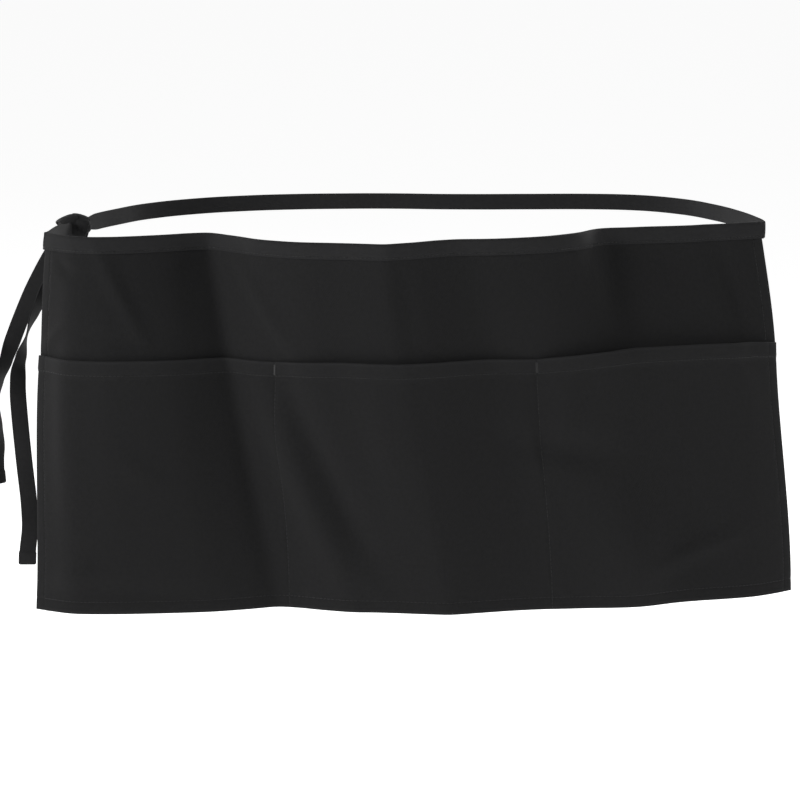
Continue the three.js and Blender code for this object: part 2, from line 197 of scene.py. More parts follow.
def look_up(grid, across, down):
    """The value of a map between its four nearest entries."""
    u = np.clip(across, 0, 1) * steps_across
    v = np.clip(down, 0, 1) * steps_down
    i = np.minimum(u.astype(int), steps_across - 1)
    j = np.minimum(v.astype(int), steps_down - 1)
    upper = grid[j, i] + (grid[j, i + 1] - grid[j, i]) * (u - i)
    lower = grid[j + 1, i] + (grid[j + 1, i + 1] - grid[j + 1, i]) * (u - i)
    return upper + (lower - upper) * (v - j)


# %% [markdown]
# Small creases lie on top of the folds. Each is a long soft ridge, or a hollow where its height
# is negative: a bell curve along it and another across it. Places are shares of the cloth, sizes
# are in millimetres, and tilt is in degrees from upright, positive where the lower end swings
# right.

# %% Table of creases
creases = make_table("across down tilt length width height", [
    (0.112, 0.15, 31, 40, 6, 2.6),
    (0.040, 0.09, 60, 10, 5, -1.3),
    (0.022, 0.27, -48, 12, 4.5, 1.3),
    (0.110, 0.27, 80, 22, 5, -1.0),
    (0.310, 0.17, 36, 42, 7, 2.4),
    (0.235, 0.50, 10, 90, 22, -2.0),
    (0.356, 0.64, 21, 85, 14, 6.0),
    (0.394, 0.66, 21, 85, 13, -6.5),
    (0.440, 0.92, 28, 28, 11, 3.4),
    (0.470, 0.50, 10, 60, 16, 3.2),
    (0.50, 0.16, 4, 34, 10, -2.2),
    (0.635, 0.47, 12, 16, 7, 1.4),
    (0.660, 0.57, 7, 34, 4.5, 1.5),
    (0.702, 0.47, -14, 30, 9, 3.0),
    (0.705, 0.57, 80, 30, 12, -5.5),
    (0.775, 0.86, 8, 52, 28, 11.5),
    (0.835, 0.50, -3, 22, 6, 0.9),
    (0.875, 0.61, -4, 24, 6, 0.9),
    (0.866, 0.86, -73, 36, 7, 2.4),
    (0.942, 0.16, 13, 44, 10, -5.5),
    (0.788, 0.12, 5, 62, 18, -8.5),
    (0.055, 0.90, -60, 18, 8, 3.0),
    (0.130, 0.945, 88, 40, 6, -1.4),
    (0.050, 0.55, 0, 70, 10, 1.6),
    (0.140, 0.62, 55, 20, 9, 1.0),
])


def relief(across, down):
    """How far the creases lift the cloth, in metres: the sum of their bell curves."""
    right = (across[..., None] - creases["across"]) * apron_width
    low = (down[..., None] - creases["down"]) * apron_height
    tilt = np.radians(creases["tilt"])
    along = low * np.cos(tilt) + right * np.sin(tilt)
    beside = right * np.cos(tilt) - low * np.sin(tilt)
    bell = (along / creases["length"] / mm) ** 2 + (beside / creases["width"] / mm) ** 2
    return (np.exp(-bell) * creases["height"] * mm).sum(axis=-1)


def off_cloth(across, down, off):
    """Points off the cloth's front face. Past a side edge the cloth runs straight on."""
    across, down, off = np.broadcast_arrays(across, down, off)
    inside = np.clip(across, 0, 1)
    past = (across - inside) * apron_width
    turn = turn_of_cloth(inside, down)
    out = off + relief(inside, down)
    x = look_up(cloth_x, inside, down) - np.sin(turn) * out + np.cos(turn) * past
    y = look_up(cloth_y, inside, down) - np.cos(turn) * out - np.sin(turn) * past
    return columns(x, y, band_top - down * apron_height)


# %% [markdown]
# From grids to meshes. A sheet of cloth is two grids, its front and its back, closed by a rim.
# A tape is a small closed outline carried along a path. Both keep a UV map that holds the flat
# cloth's own metres, so the weave lies along the cloth and is not stretched by its folds.

# %% Mesh helpers
def new_object(name, data):
    """An object of the scene, at the origin, for a mesh, a lamp or a camera."""
    thing = bpy.data.objects.new(name, data)
    bpy.context.scene.collection.objects.link(thing)
    return thing


def new_piece(name, points, faces, uv, wear_and_highlight=None):
    """A smooth mesh object from points, faces and a UV pair for each point."""
    mesh = bpy.data.meshes.new(name)
    mesh.from_pydata(points.reshape(-1, 3), [], faces)
    layer = mesh.uv_layers.new(name="cloth")
    corner = np.empty(len(mesh.loops), dtype=np.int32)
    mesh.loops.foreach_get("vertex_index", corner)
    layer.data.foreach_set("uv", uv.reshape(-1, 2)[corner].ravel())
    # An optional float per point for paler edges: part wear, part painted highlight
    if wear_and_highlight is not None:
        shade = mesh.attributes.new("wear_and_highlight", "FLOAT", "POINT")
        shade.data.foreach_set("value", wear_and_highlight.ravel().astype(np.float32))
    mesh.shade_smooth()
    mesh.validate()
    return new_object(name, mesh)


def tell(*pieces):
    """Print how many faces each piece has."""
    for piece in pieces:
        print(piece.name, len(piece.data.polygons), "faces")


def grid_faces(index, turned=False):
    """Quads between neighbours of a grid of point numbers."""
    a, b = index[:-1, :-1], index[1:, :-1]
    c, d = index[1:, 1:], index[:-1, 1:]
    quads = columns(a, b, c, d).reshape(-1, 4)
    return quads[:, ::-1] if turned else quads


def sheet_piece(name, front, back, uv, wear_and_highlight):
    """A closed sheet: the front grid, the back grid and the rim between their edges."""
    f = np.arange(front[..., 0].size).reshape(front.shape[:2])
    b = f + f.size
    rim = [
        grid_faces(np.stack([f[0], b[0]]), True),
        grid_faces(np.stack([f[-1], b[-1]])),
        grid_faces(np.stack([f[:, 0], b[:, 0]])),
        grid_faces(np.stack([f[:, -1], b[:, -1]]), True),
    ]
    faces = np.concatenate([grid_faces(f), grid_faces(b, True), *rim])
    points = np.concatenate([front.reshape(-1, 3), back.reshape(-1, 3)])
    both = np.concatenate([uv.reshape(-1, 2)] * 2)
    return new_piece(name, points, faces.tolist(), both, np.concatenate([wear_and_highlight.ravel()] * 2))


def lines(total, spacing, seams):
    """Places along a side: even ones, close ones by both edges, and close ones by each seam."""
    near_edge = np.array([0, 0.1, 0.3, 0.6, 1.1]) * mm
    near_seam = np.array([-1.4, -0.7, -0.35, 0, 0.35, 0.7, 1.4]) * mm
    close = np.concatenate([near_edge, total - near_edge, *[seam + near_seam for seam in seams]])
    even = np.linspace(0, total, int(total / spacing) + 1)
    apart = np.abs(even[:, None] - close).min(axis=1)
    return np.unique(np.round(np.concatenate([even[apart > spacing * 0.45], close]), 6))


def rounding(distance, radius):
    """How much a rounded edge falls back: radius less the height of a circle there."""
    inside = np.clip(radius - distance, 0, radius)
    return radius - np.sqrt(radius**2 - inside**2)


def groove(distance, depth=0.28 * mm, reach=0.8 * mm):
    """The dent that a tight seam pulls into the cloth."""
    return -depth * np.exp(-((distance / reach) ** 2))


def wobble(at, scale):
    """A smooth uneven wave between about -1 and 1: three sines that never line up."""
    s = at / scale
    return (np.sin(s) + 0.7 * np.sin(2.31 * s + 1.3) + 0.5 * np.sin(3.77 * s + 0.4)) / 2.0


def pucker(distance, along, height=0.22 * mm, scale=2.6 * mm, reach=5 * mm):
    """The small waves that gathered thread leaves on both sides of a seam."""
    return height * wobble(along, scale) * np.exp(-((distance / reach) ** 2))


# %% [markdown]
# The body panel is one layer of twill. Its two sides and its lower edge are turned to the back
# and sewn. From the front a hem shows as a row of stitches in a groove with small puckers, and
# from behind as a second layer with its own edge.

# %% Body panel
side_seam = side_hem - 1.2 * mm
bottom_seam = bottom_hem - 1.4 * mm
# The panel's own top edge lies this far below the top of the waistband's fold
panel_top = 1.3 * mm
grid_step = 2.6 * mm
# How far from an edge the cloth is painted paler, partly as rubbed wear and partly as a painted
# highlight on the rim, and how much of that a whole hem shows
pale_rim_reach = 1.0 * mm
hem_pale_share = 0.1


def sewn_relief(side, low, across_m, down_m):
    """Grooves and puckers along the side and bottom seams of both panels."""
    out = groove(side - side_seam) + groove(low - bottom_seam)
    out = out + pucker(side - side_seam, down_m + across_m * 0.3)
    return out + pucker(low - bottom_seam, across_m)


def panel_piece(name, across, down, offs, distances, hem, uv):
    """A panel between two offsets, rounded where an edge is near and painted paler there: part
    wear, part painted highlight.
    """
    front_off, back_off = offs
    edge = np.min(np.broadcast_arrays(*distances), axis=0)
    fall = rounding(edge, (front_off - back_off) / 2)
    front = off_cloth(across, down, front_off - fall)
    back = off_cloth(across, down, back_off + fall)
    # Paler edges and hems: partly rubbed wear, partly a painted highlight where the rims catch the
    # light
    wear_and_highlight = np.exp(-((edge / pale_rim_reach) ** 2)) + hem * hem_pale_share
    return sheet_piece(name, front, back, uv, wear_and_highlight)


def make_body_panel():
    """The front face follows the seams' relief. The back face lies a layer, or a hem, behind."""
    across_m = lines(apron_width, grid_step, [side_seam, apron_width - side_seam])[None, :]
    seams = [band_height - panel_top, apron_height - bottom_seam - panel_top]
    down_m = (lines(apron_height - panel_top, grid_step, seams) + panel_top)[:, None]
    side = np.minimum(across_m, apron_width - across_m)
    low = apron_height - down_m
    hem = 1 - step(np.minimum(side / side_hem, low / bottom_hem), 0.97, 1.03)
    front_off = sewn_relief(side, low, across_m, down_m)
    offs = (front_off, front_off - cloth - turned_behind * hem)
    distances = (side, low, down_m - panel_top)
    across, down = across_m / apron_width, down_m / apron_height
    uv = columns(across_m, -down_m)
    return panel_piece("body_cloth", across, down, offs, distances, hem, uv)


body_cloth = make_body_panel()
tell(body_cloth)

# %% [markdown]
# The pocket panel is a second cloth across the whole width. It is sewn down at the sides, along
# the bottom and along two upright seams, so between them it stands off as three wide arches.
# Each arch is deepest at the mouth and dies away downwards.

# %% Pocket panel
# Where each pocket starts and ends across the apron, and how far its mouth gapes and rises in
# the middle, in shares of the pocket's height
pockets = make_table("start end gape lift", [
    (0, dividers[0], 0.014, 0.002),
    (dividers[0], dividers[1], 0.022, 0.008),
    (dividers[1], 1, 0.062, 0.022),
])
# How far the mouth's edge droops along its length, in shares of the pocket's height
mouth_droop = make_table("across drop", [
    (0.04, 0.006), (0.12, 0.004), (0.28, 0.014), (0.42, 0.004), (0.62, 0.008), (0.8, 0),
])
mouth_seam = mouth_hem - 1.0 * mm
# Below its seam the mouth's hem ends in a sharp crease on the front
mouth_crease = 0.7 * mm
# How deep stitches lie in a seam's groove, and the most that a seam may pull the pocket panel in
seam_depth = 0.25 * mm


def pocket_arch(across):
    """The pocket that a place is on, and the arch: 1 less the cube of the share to its seams."""
    k = (across >= dividers[0]).astype(int) + (across >= dividers[1])
    row = pockets[k]
    place = (across - row["start"]) / (row["end"] - row["start"])
    return row, 1 - np.abs(2 * place - 1) ** 3


def mouth_line(across):
    """How far down the mouth's edge lies, as a share of the apron's height."""
    row, arch = pocket_arch(across)
    drop = read(mouth_droop, "across", "drop", across) - row["lift"] * arch
    return mouth_down + drop * pocket_height / apron_height


def pocket_off(across, low):
    """How far the pocket's back face lies off the body panel, low running from mouth to hem."""
    row, arch = pocket_arch(across)
    return clearance + row["gape"] * pocket_height * arch * (1 - low) ** 1.4


def make_pocket_panel():
    """The back face stands off by the arches. The front face lies a layer, or a hem, before it."""
    seams = [side_seam, apron_width - side_seam, *[d * apron_width for d in dividers]]
    across_m = lines(apron_width, grid_step, seams)[None, :]
    low_m = lines(pocket_height, grid_step, [mouth_seam, pocket_height - bottom_seam])[:, None]
    across, low = across_m / apron_width, low_m / pocket_height
    mouth = mouth_line(across)
    down = mouth + (1 - mouth) * low
    side = np.minimum(across_m, apron_width - across_m)
    hem = 1 - step(low_m / mouth_hem, 0.96, 1.04)
    sewn = sewn_relief(side, pocket_height - low_m, across_m, down * apron_height)
    sewn = sewn + groove(low_m - mouth_seam) + pucker(low_m - mouth_seam, across_m, 0.12 * mm)
    divider = np.min([np.abs(across_m - place * apron_width) for place in dividers], axis=0)
    sewn = sewn + groove(divider, 0.3 * mm) + pucker(divider, low_m, 0.25 * mm, 3.2 * mm)
    back_off = pocket_off(across, low) + np.maximum(sewn, -seam_depth)
    front_off = back_off + cloth + (turned_behind + turned_before) * hem
    front_off = front_off + groove(low_m - mouth_seam - mouth_crease, 0.45 * mm)
    distances = (side, low_m, pocket_height - low_m)
    uv = columns(across_m, -low_m)
    return panel_piece("pocket_cloth", across, down, (front_off, back_off), distances, hem, uv)


pocket_cloth = make_pocket_panel()
tell(pocket_cloth)

# %% [markdown]
# The waistband is a folded strip that wraps the top edge. Its outline is a U seen from the
# side: up the front leaf, over the fold, down the back leaf, and back inside. It is carried
# from one end of the apron to the other.

# %% Waistband
leaf = 1.0 * mm
band_overhang = 1 * mm
# The seam of the folded strip lies this far from its open edge
strip_seam = 1.9 * mm
band_seam = band_height - strip_seam
band_round = 2.2 * mm
band_bulge = 0.25 * mm


def carried(name, rings, uv, closed=False):
    """A body through rings of points, closed to a hoop or with a flat cap at both ends."""
    count, sides = rings.shape[:2]
    index = np.arange(count * sides).reshape(count, sides)
    loop = np.concatenate([index, index[:, :1]], axis=1)
    if closed:
        faces = grid_faces(np.concatenate([loop, loop[:1]]), True).tolist()
    else:
        faces = grid_faces(loop, True).tolist()
        faces += [index[0].tolist(), index[-1][::-1].tolist()]
    return face_out(new_piece(name, rings, faces, uv))


def face_out(piece):
    """Turn all faces round if the closed mesh is inside out, which its signed volume tells."""
    shape = bmesh.new()
    shape.from_mesh(piece.data)
    if shape.calc_volume(signed=True) < 0:
        bmesh.ops.reverse_faces(shape, faces=shape.faces)
        shape.to_mesh(piece.data)
    shape.free()
    return piece


def under_band(side):
    """Where the panel's back face lies under the waistband, with its side hems."""
    return -cloth - turned_behind * (1 - step(side / side_hem, 0.9, 1.1))


def make_waistband():
    """Front leaf, fold and back leaf. off is measured from the panel's front face."""
    down = np.array([12.7, 11.9, 11.3, 10.8, 10.3, 9.7, 8, 6, 4, 2.4, 1.3, 0.6, 0.15]) * mm
    bulge = band_bulge * np.sin(np.pi * np.clip(down / band_height, 0, 1))
    outer = bulge + groove(down - band_seam)
    front = clearance + leaf + outer - rounding(down, band_round)
    hem_fall = rounding(band_height - down, leaf / 2)
    inner_down = down[down > 1.2 * mm]
    inner_fall = rounding(band_height - inner_down, leaf / 2)
    across_m = np.arange(-band_overhang, apron_width + band_overhang + 1e-6, 2.2 * mm)
    across_m[-1] = apron_width + band_overhang
    side = np.clip(np.minimum(across_m, apron_width - across_m), 0, None)
    behind = under_band(side)[:, None]
    crimp = pucker(0, across_m, 0.3 * mm, 3.4 * mm)[:, None]
    press = (down / band_height) ** 2 * crimp
    inner_press = (inner_down / band_height) ** 2 * crimp
    outer_front = front - hem_fall + press
    inner_front = clearance + inner_fall + inner_press
    outer_back = behind - (front - hem_fall) + press
    inner_back = behind - clearance - inner_fall + inner_press
    round_parts = [outer_front, outer_back[:, ::-1], inner_back, inner_front[:, ::-1]]
    off = np.concatenate(round_parts, axis=1)
    heights = np.concatenate([down, down[::-1], inner_down, inner_down[::-1]])
    rings = off_cloth(across_m[:, None] / apron_width, heights / apron_height, off)
    return carried("waistband_tape", rings, columns(across_m[:, None], -heights))


waistband_tape = make_waistband()
tell(waistband_tape)

# %% [markdown]
# The ties. The same folded strip runs on past the waistband as two ties. A tie is a flat tape
# on a smooth curve: its outline, a squared oval with a dent along its seam, is carried from
# station to station, standing on its edge and leaning a little.

# %% Curves and tapes
def length_along(path):
    """How far along a path each of its points lies."""
    return np.concatenate([[0], np.cumsum(np.linalg.norm(np.diff(path, axis=0), axis=1))])


def read_rows(at, places, rows):
    """Rows of x, y and z read between their places."""
    return np.stack([np.interp(at, places, rows[:, axis]) for axis in range(3)], axis=1)


def smooth_curve(points, count):
    """A centripetal Catmull-Rom curve through points, at even steps of its length.

    Between two points it blends straight lines whose knots lie apart by the square root of the
    points' distance, so that it never overshoots at a sharp turn.
    """
    p = np.vstack([2 * points[0] - points[1], points, 2 * points[-1] - points[-2]])
    t = np.linspace(0, 1, 60, endpoint=False)[:, None]
    runs = []
    for k in range(1, len(p) - 2):
        gaps = np.linalg.norm(np.diff(p[k - 1 : k + 3], axis=0), axis=1) ** 0.5
        k0, k1, k2, k3 = np.concatenate([[0], np.cumsum(gaps)])
        s = k1 + (k2 - k1) * t
        a = [
            p[k - 1] + (p[k] - p[k - 1]) * (s - k0) / (k1 - k0),
            p[k] + (p[k + 1] - p[k]) * (s - k1) / (k2 - k1),
            p[k + 1] + (p[k + 2] - p[k + 1]) * (s - k2) / (k3 - k2),
        ]
        b = a[0] + (a[1] - a[0]) * (s - k0) / (k2 - k0)
        c = a[1] + (a[2] - a[1]) * (s - k1) / (k3 - k1)
        runs.append(b + (c - b) * (s - k1) / (k2 - k1))
    path = np.vstack([*runs, points[-1:]])
    length = length_along(path)
    at = np.linspace(0, length[-1], count)
    return read_rows(at, length, path), at


def unit(vectors):
    """Vectors divided by their lengths."""
    return vectors / np.linalg.norm(vectors, axis=-1, keepdims=True)


def part_along(vectors, axis):
    """The part of vectors along unit axes: each axis times the dot product with it."""
    return (vectors * axis).sum(axis=1, keepdims=True) * axis


def square_to(vectors, axis):
    """Unit vectors: what is left of the vectors at right angles to unit axes."""
    return unit(vectors - part_along(vectors, axis))


def about(vectors, axis, angle):
    """Turn vectors about unit axes by angles: the parallel part stays, the rest is turned."""
    cos, sin = np.cos(angle)[:, None], np.sin(angle)[:, None]
    along = part_along(vectors, axis)
    return along + (vectors - along) * cos + np.cross(axis, vectors) * sin


def squared(wave, power):
    """A wave raised to a power below one, which squares up an oval."""
    return np.sign(wave) * np.abs(wave) ** power


def tape_outline(sides=28):
    """A squared oval, from -1 to 1 both ways: cosines and sines raised to small powers."""
    angle = np.linspace(0, 2 * np.pi, sides, endpoint=False) + 0.01
    return squared(np.cos(angle), 0.55), squared(np.sin(angle), 0.45)


def make_tape(name, middle, wide, thick, width, thickness, at):
    """Carry the outline along stations, with a dent where the strip's seam runs."""
    w, t = tape_outline()
    seam = (w * tie_width / 2 + tie_width / 2 - strip_seam) / mm
    dent = 1 - 0.22 * np.exp(-(seam**2))
    out = t * dent * thickness[:, None] / 2
    side = w * width[:, None] / 2
    rings = middle[:, None] + wide[:, None] * side[..., None] + thick[:, None] * out[..., None]
    return carried(name, rings, columns(side, at[:, None]))


# %% [markdown]
# The back tie leaves the waistband's right end, turns at once to the back, loops round and
# comes to the knot behind the left corner. The left tie is the short way from the left end.

# %% Back tie and left tie
tie_turn = 2 * mm
knot_inset = 21.5 * mm
knot_setback = 71 * mm
# A tie narrows towards the knot between these two distances from its end
pinch_start = 34 * mm
pinch_end = 12 * mm
back_tie_route = make_table("right back lean", [
    (1.0, 0.36, 0),
    (0.99, 0.43, 4),
    (0.965, 0.54, 8),
    (0.92, 0.67, 8),
    (0.85, 0.79, 6),
    (0.745, 0.88, 3),
    (0.6, 0.925, 0),
    (0.42, 0.94, -2),
    (0.2, 0.955, -2),
    (0.0, 0.99, 0),
    (-0.2, 1.0, 2),
    (-0.4, 0.98, 6),
    (-0.58, 0.92, 9),
    (-0.71, 0.83, 10),
    (-0.8, 0.72, 8),
])


def band_end(edge):
    """The middle of the waistband at one end, and the way that it points there."""
    outward = -1 if edge == 0 else 1
    turn = turn_of_cloth(np.array(float(edge)), np.array(0.0))
    way = np.array([outward * np.cos(turn), -outward * np.sin(turn), 0])
    across = np.array(edge + outward * band_overhang / apron_width)
    middle = off_cloth(across, np.array(band_top / apron_height), np.array(-1 * mm))
    return middle * [1, 1, 0], way


def turn_at_end(middle, way):
    """Points that lead a tie straight out of the band and then to the back."""
    back = np.array([-way[1], way[0], 0]) * np.sign(way[0])
    steps = np.array([(-0.6, 0), (0, 0), (0.5, 0), (1.2, 0.4), (1.3, 1.2)]) * tie_turn
    return middle + steps[:, :1] * way + steps[:, 1:] * back


left_end, left_way = band_end(0)
right_end, right_way = band_end(1)
half_span = (right_end[0] - left_end[0]) / 2
span_middle = (right_end[0] + left_end[0]) / 2
knot_middle = left_end + [knot_inset, knot_setback, 0]


def standing(name, route, count, lean, narrowing):
    """A tape that stands on its edge along a route. narrowing is the share left at its end."""
    middle, at = smooth_curve(route, count)
    along = unit(np.gradient(middle, axis=0))
    out = unit(columns(along[:, 1], -along[:, 0], 0))
    up = np.tile([0.0, 0.0, 1.0], (count, 1))
    share = at / at[-1]
    tip = np.radians(lean(share))
    pinch = 1 - (1 - narrowing) * step(at, at[-1] - pinch_start, at[-1] - pinch_end)
    ripple = 0.35 * mm * wobble(at, 24 * mm)[:, None] * out
    piece = make_tape(
        name,
        middle + ripple,
        about(up, along, tip),
        about(out, along, tip),
        tie_width * pinch,
        tie_thickness / np.sqrt(pinch),
        at,
    )
    return piece, at[-1]


def make_back_tie():
    """From the right end through the route's places, scaled to the loop, to the knot."""
    right = span_middle + back_tie_route["right"] * (half_span + tie_turn)
    back = front_y + back_tie_route["back"] * loop_depth
    route = np.vstack([turn_at_end(right_end, right_way), columns(right, back, 0), knot_middle])
    places = np.linspace(0.02, 0.96, len(back_tie_route))

    def lean(share):
        """The route's lean, read between its rows."""
        return np.interp(share, places, back_tie_route["lean"])

    return standing("back_tie_tape", route, 420, lean, 0.62)


def make_left_tie():
    """From the left end through one place half way to the knot."""
    turn = turn_at_end(left_end, left_way)
    half = (turn[-1] + knot_middle) / 2 + [-tie_turn, 0, 0]
    route = np.vstack([turn, half, knot_middle])
    return standing("left_tie_tape", route, 70, lambda share: share * 0, 0.7)


back_tie_tape, back_tie_length = make_back_tie()
left_tie_tape, left_tie_length = make_left_tie()
print("ties:", round(back_tie_length, 3), "m and", round(left_tie_length, 3), "m")

# %% [markdown]
# The loose ends hang from the knot. A table says how each leans, in degrees, and which way its
# flat side is turned, and small steps are added up along it, so each keeps its length. The last
# stretch is thicker, where the end is turned in and sewn.

# %% Loose ends
outer_tail_length = 213 * mm
inner_tail_length = 271 * mm
knot_length = 27 * mm
knot_thickness = 15 * mm
tail_corner = 0.8 * mm
outer_tail = make_table("along left front turn", [
    (0.0, 22, -6, -12),
    (0.1, 31, -4, -8),
    (0.2, 28, 0, -6),
    (0.33, 23, 3, -4),
    (0.45, 21, 4, 4),
    (0.54, 18, 4, 34),
    (0.62, 14, 4, 66),
    (0.7, 0, 3, 86),
    (0.79, -2, 2, 66),
    (0.88, 6, 1, 44),
    (1.0, -4, 0, 32),
])
inner_tail = make_table("along left front turn", [
    (0.0, 12, 16, 4),
    (0.08, 30, 18, 6),
    (0.18, 33, 16, 20),
    (0.27, 27, 14, 56),
    (0.34, 17, 12, 84),
    (0.41, 15, 12, 48),
    (0.47, 2, 11, 18),
    (0.55, -4, 9, 4),
    (0.66, -5, 8, -4),
    (0.77, -6, 7, 2),
    (0.86, -2, 6, 8),
    (0.93, 8, 4, 4),
    (1.0, 1, 2, 0),
])


def make_tail(piece_name, table, length, right, back, count=260):
    """A loose end: its way down is the unit vector of its two leans, summed along its length."""
    share = np.linspace(0, 1, count)
    names = ("left", "front", "turn")
    left, ahead, turn = [np.radians(read(table, "along", name, share)) for name in names]
    down = unit(columns(-np.tan(left), -np.tan(ahead), -1))
    start = knot_middle + [right * knot_length, back * knot_thickness, 0]
    between = (down[1:] + down[:-1]) / 2 * length / (count - 1)
    middle = start + np.vstack([np.zeros((1, 3)), np.cumsum(between, axis=0)])
    wide = square_to(columns(np.cos(turn), np.sin(turn), 0), down)
    thick = np.cross(down, wide)
    from_end = (1 - share) * length
    hem = 1 - step(from_end, tail_hem - 0.3 * mm, tail_hem + 0.3 * mm)
    width = tie_width * (0.7 + 0.3 * step(share, 0.03, 0.12)) + 0.9 * mm * hem
    width = width - 2 * rounding(from_end, tail_corner)
    thickness = tie_thickness * 0.75 + 1.0 * mm * hem
    thickness = thickness - 1.6 * rounding(from_end, tail_corner)
    return make_tape(piece_name, middle, wide, thick, width, thickness, share * length)


outer_tape = make_tail("outer_tail_tape", outer_tail, outer_tail_length, -0.26, 0.14)
inner_tape = make_tail("inner_tail_tape", inner_tail, inner_tail_length, 0.08, -0.14)
tell(outer_tape, inner_tape)

# %% [markdown]
# The knot is the same tape wrapped tight round itself. Three rings of tape on tilted ovals,
# cupped over a bundled core, show the flat facets and dark gaps of a real knot.

# %% Knot
turns = make_table("right high deep tilt yaw width phase", [
    (-4.2, 8.4, 7.4, -22, 12, 14.0, 0.0),
    (3.8, 8.6, 7.0, 14, -14, 14.0, 1.1),
    (-0.5, 7.4, 6.8, 66, 16, 12.0, 2.0),
])
# How far a turn's edges bend in over the strands, half its thickness, and how square its oval is
turn_cup = 0.9 * mm
turn_half = 0.8 * mm
turn_power = 0.72
# Half the core's length, depth and height
core_half = (13.0 * mm, 6.6 * mm, 8.6 * mm)


def make_knot_turn(name, row, count=96):
    """One turn: an oval ring of tape, tilted about the viewing line and turned about upright."""
    angle = np.linspace(0, 2 * np.pi, count, endpoint=False)
    swell = 1 + 0.05 * np.sin(3 * angle + row["phase"]) + 0.03 * np.sin(5 * angle)
    ring = columns(
        1.4 * mm * np.sin(2 * angle + row["phase"]),
        -row["deep"] * mm * squared(np.cos(angle), turn_power) * swell,
        row["high"] * mm * squared(np.sin(angle), turn_power) * swell,
    )
    yaw = Matrix.Rotation(np.radians(row["yaw"]), 3, "Z")
    tilt = Matrix.Rotation(np.radians(row["tilt"]), 3, "Y")
    along = unit(np.roll(ring, -1, axis=0) - np.roll(ring, 1, axis=0))
    wide = square_to(np.tile([1.0, 0.0, 0.0], (count, 1)), along)
    thick = np.cross(wide, along)
    w, t = tape_outline()
    pinch = 1 - 0.22 * np.exp(-(((angle - np.pi) / 0.9) ** 2))
    side = w * (row["width"] * mm / 2 * pinch)[:, None]
    out = t * turn_half - turn_cup * w**2
    rings = ring[:, None] + wide[:, None] * side[..., None] + thick[:, None] * out[None, :, None]
    rings = rings @ np.array(yaw @ tilt).T + knot_middle + [row["right"] * mm, 0, 0]
    length = angle * row["high"] * mm
    return carried(name, rings, columns(side, length[:, None]), closed=True)


def make_knot_core(rows=40, sides=48):
    """The strands inside: an egg whose radius waves with three slanting lobes."""
    polar = np.linspace(0.02, np.pi - 0.02, rows)[:, None]
    angle = np.linspace(0, 2 * np.pi, sides, endpoint=False)
    along = -np.cos(polar)
    lobe = 1 - 0.16 * (0.5 - 0.5 * np.cos(3 * angle + 2.6 * along))
    across = np.sin(polar) ** 0.8 * lobe
    rings = columns(along, np.cos(angle) * across, np.sin(angle) * across) * core_half
    return carried("knot_core", rings + knot_middle, columns(angle * 8 * mm, rings[..., 0]))


knot_core = make_knot_core()
knot_turns = [make_knot_turn(f"knot_turn_{k + 1}", row) for k, row in enumerate(turns)]
tell(knot_core, *knot_turns)

# %% [markdown]
# Stitches. A lockstitch shows as a row of short beads of thread. One bead is a small spindle,
# and a row is the same spindle placed at every pitch along a line on the cloth.

# %% Stitches
stitch_pitch = 3.0 * mm
stitch_length = 2.5 * mm
stitch_radius = 0.21 * mm


def spindle(rings=5, sides=6):
    """A small closed bead along X: circles whose radius is a small power of a sine."""
    way = np.linspace(0, np.pi, rings + 2)[1:-1, None]
    angle = np.linspace(0, 2 * np.pi, sides, endpoint=False)
    swell = np.sin(way) ** 0.6
    ring = columns(-np.cos(way) / 2, swell * np.cos(angle), swell * np.sin(angle))
    points = np.vstack([[[-0.5, 0, 0]], ring.reshape(-1, 3), [[0.5, 0, 0]]])
    first = np.arange(sides) + 1
    following = np.roll(first, -1)
    last = first + (rings - 1) * sides
    faces = [[0, b, a] for a, b in zip(first, following)]
    for start in range(0, (rings - 1) * sides, sides):
        both = zip(first + start, following + start)
        faces += [[a, b, b + sides, a + sides] for a, b in both]
    end = len(points) - 1
    faces += [[end, a, b] for a, b in zip(last, np.roll(last, -1))]
    return points, faces


def stitch_places(path, out):
    """Centres, directions and outward normals at every pitch along a line on the cloth."""
    length = length_along(path)
    count = max(int(length[-1] / stitch_pitch), 1)
    at = (np.arange(count) + 0.5) * length[-1] / count
    ahead = read_rows(at + 0.3 * mm, length, path)
    along = unit(ahead - read_rows(at - 0.3 * mm, length, path))
    return read_rows(at, length, path), along, square_to(read_rows(at, length, out), along)


def stitch_piece(name, rows, length=stitch_length, radius=stitch_radius):
    """All rows of one kind of stitch as one mesh."""
    points, faces = spindle()
    centre, along, normal = [np.vstack(part) for part in zip(*rows)]
    side = np.cross(normal, along)
    shape = (
        centre[:, None]
        + along[:, None] * points[None, :, :1] * length
        + side[:, None] * points[None, :, 1:2] * radius * 1.15
        + normal[:, None] * points[None, :, 2:] * radius
    )
    starts = range(0, len(centre) * len(points), len(points))
    all_faces = [[v + start for v in face] for start in starts for face in faces]
    uv = np.zeros((len(centre) * len(points), 2))
    return new_piece(name, shape, all_faces, uv)


def panel_row(across, down, off, raise_by=0.02 * mm):
    """A line of stitches on the cloth. A negative raise_by makes it face back."""
    across, down, off = np.broadcast_arrays(across, down, off)
    facing = 1 if raise_by > 0 else -1
    path = off_cloth(across, down, off + raise_by)
    out = off_cloth(across, down, off + facing * mm) - off_cloth(across, down, off)
    return stitch_places(path, out)


fine = np.linspace(0, 1, 400)
back_raise = -0.05 * mm
side_places = (side_seam / apron_width, 1 - side_seam / apron_width)
bottom_place = 1 - bottom_seam / apron_height
band_place = band_height / apron_height


def pocket_row(across, low, lift=0.0):
    """A line of stitches on the pocket panel, lifted from the floor of a seam's groove."""
    across, low = np.broadcast_arrays(across, low)
    mouth = mouth_line(across)
    off = pocket_off(across, low) + cloth - seam_depth + lift
    return panel_row(across, mouth + (1 - mouth) * low, off)


